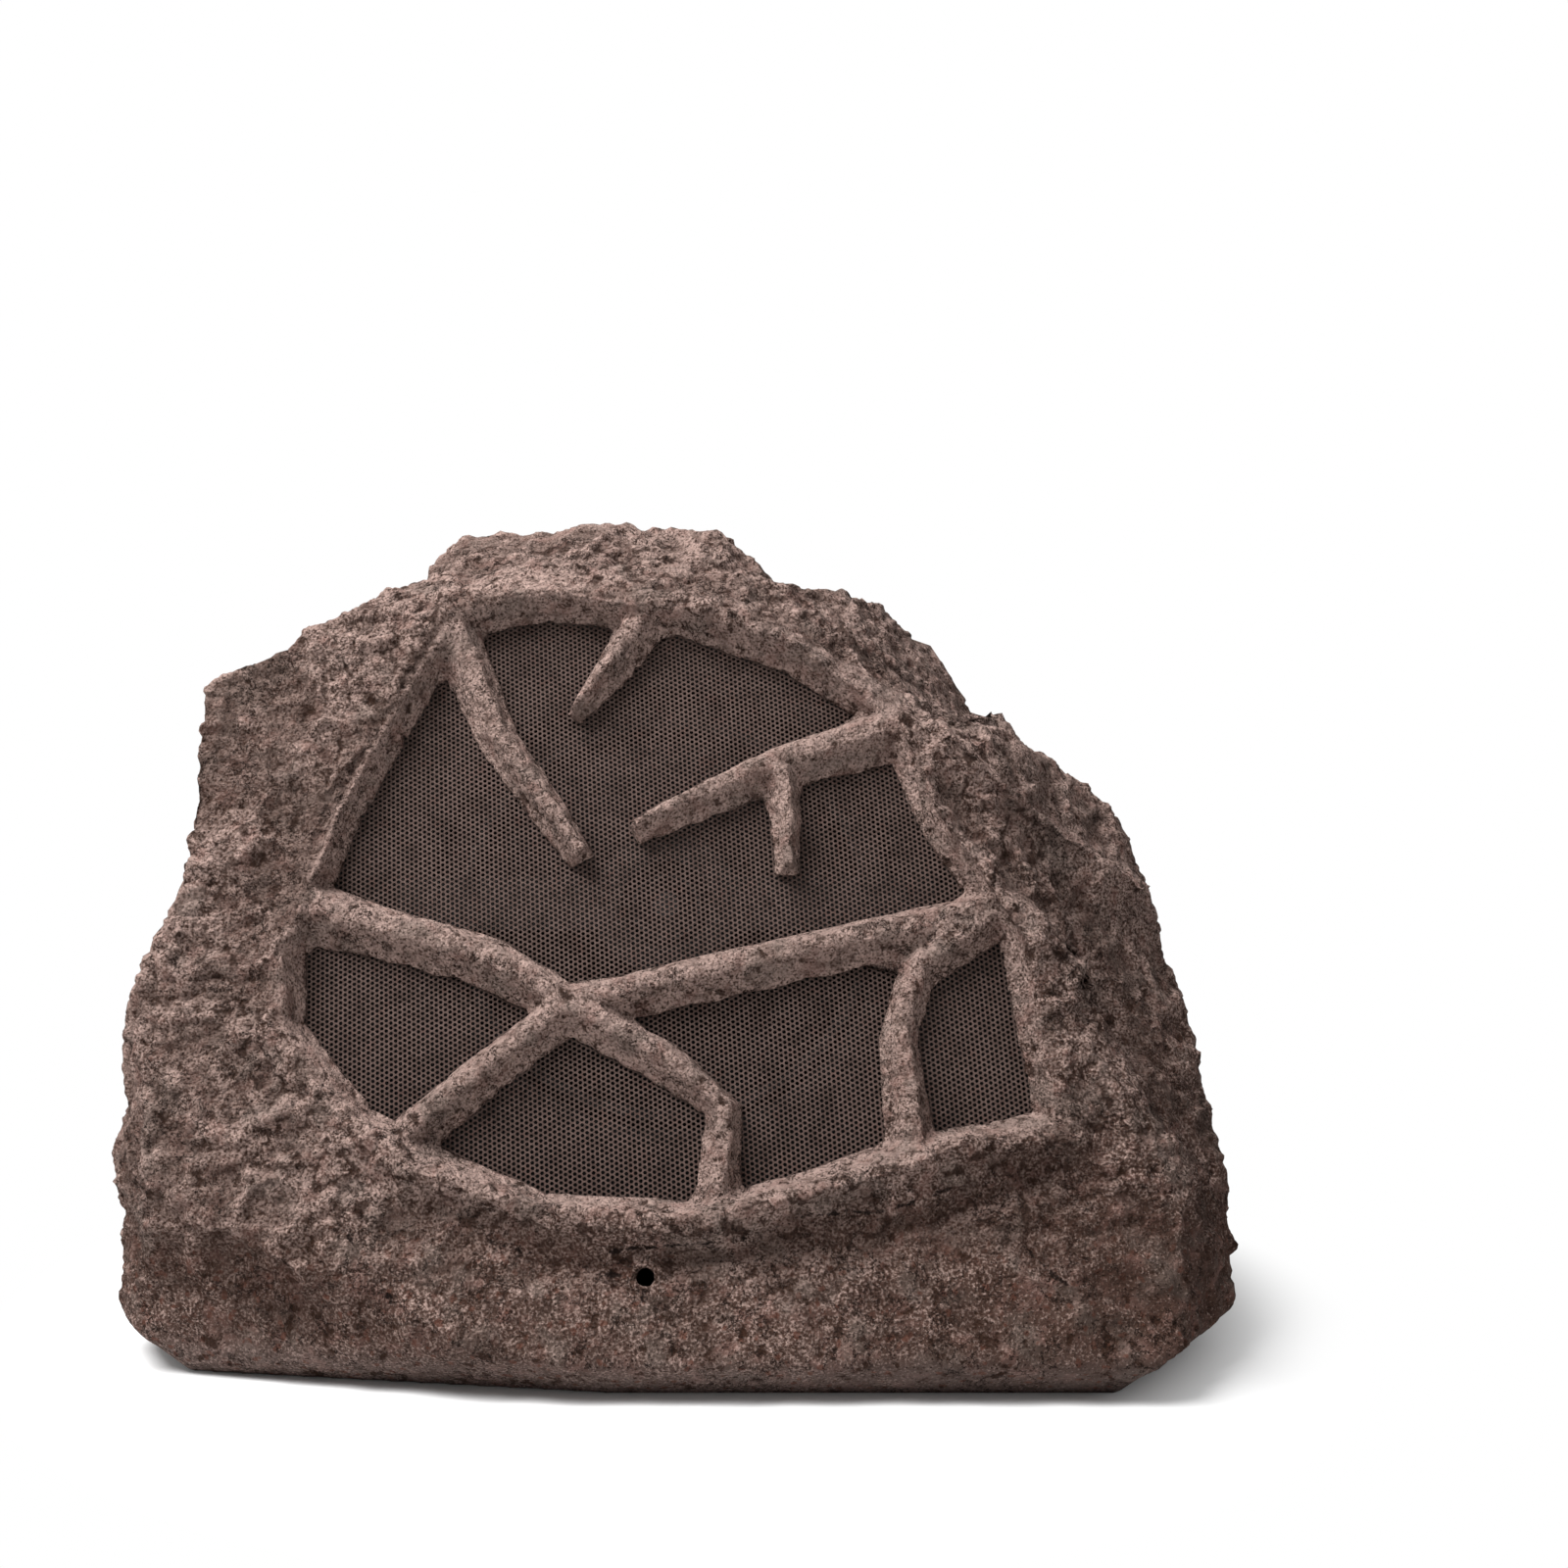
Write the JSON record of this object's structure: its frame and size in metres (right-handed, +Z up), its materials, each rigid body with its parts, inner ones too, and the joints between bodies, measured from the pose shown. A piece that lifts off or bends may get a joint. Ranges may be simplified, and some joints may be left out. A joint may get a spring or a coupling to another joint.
{
  "type": "rock shaped garden speaker",
  "caption": "Outdoor loudspeaker moulded as a brown garden rock, with branching stone ribs over a perforated grille and a coaxial driver inside.",
  "frame": {"origin": "centre of the footprint on the ground", "axes": "+Z up, -Y towards the listener in front of the grille, +X to the listener's right"},
  "size_m": [0.44, 0.35, 0.338],
  "materials": {
    "stone_resin": "rough moulded stone, matt",
    "grille_paint": "speckled matt paint",
    "foam": "soft closed cell foam",
    "baffle_wood": "black sealed fibreboard",
    "screw_steel": "zinc plated",
    "frame_paint": "black powder coat",
    "cone_plastic": "matt",
    "former_foil": "satin",
    "coil_wire": "enamelled wire",
    "surround_rubber": "satin",
    "spider_cloth": "resin dipped cloth",
    "plate_steel": "zinc plated",
    "ferrite": "matt ceramic",
    "bridge_plastic": "fine grain",
    "dome_film": "smooth film",
    "base_plastic": "fine grain",
    "board_laminate": "lacquered laminate",
    "capacitor_film": "smooth wrap",
    "resistor_ceramic": "cement",
    "terminal_plastic": "satin",
    "gland_plastic": "satin",
    "gland_rubber": "satin"
  },
  "bodies": {
    "enclosure": {"rock_shell": "stone_resin", "grille": "grille_paint", "baffle_gasket": "foam", "baffle_board": "baffle_wood", "baffle_screws": "screw_steel", "woofer_gasket": "foam", "woofer_frame": "frame_paint", "woofer_surround": "surround_rubber", "woofer_spider": "spider_cloth", "woofer_top_plate": "plate_steel", "woofer_magnet": "ferrite", "woofer_yoke": "plate_steel", "tweeter_bridge": "bridge_plastic", "tweeter_face": "bridge_plastic", "tweeter_diaphragm": "dome_film", "tweeter_cup": "plate_steel", "tweeter_magnet": "ferrite", "base_plate": "base_plastic", "base_gasket": "foam", "base_screws": "screw_steel", "crossover_board": "board_laminate", "crossover_inductor": "coil_wire", "crossover_capacitors": "capacitor_film", "crossover_resistor": "resistor_ceramic", "crossover_terminals": "terminal_plastic", "gland_body": "gland_plastic", "gland_nut": "gland_plastic", "gland_seal": "gland_rubber", "gland_cap": "gland_plastic"},
    "cone_assembly": {"woofer_cone": "cone_plastic", "woofer_dust_cap": "cone_plastic", "coil_former": "former_foil", "voice_coil": "coil_wire"}
  },
  "joints": [
    {"name": "woofer_stroke", "type": "slide", "parent": "enclosure", "child": "cone_assembly", "axis": [0, -0.9511, 0.309], "range_m": [-0.004, 0.004], "stiffness_N_per_m": 1500, "deforming": ["woofer_surround", "woofer_spider"]}
  ]
}
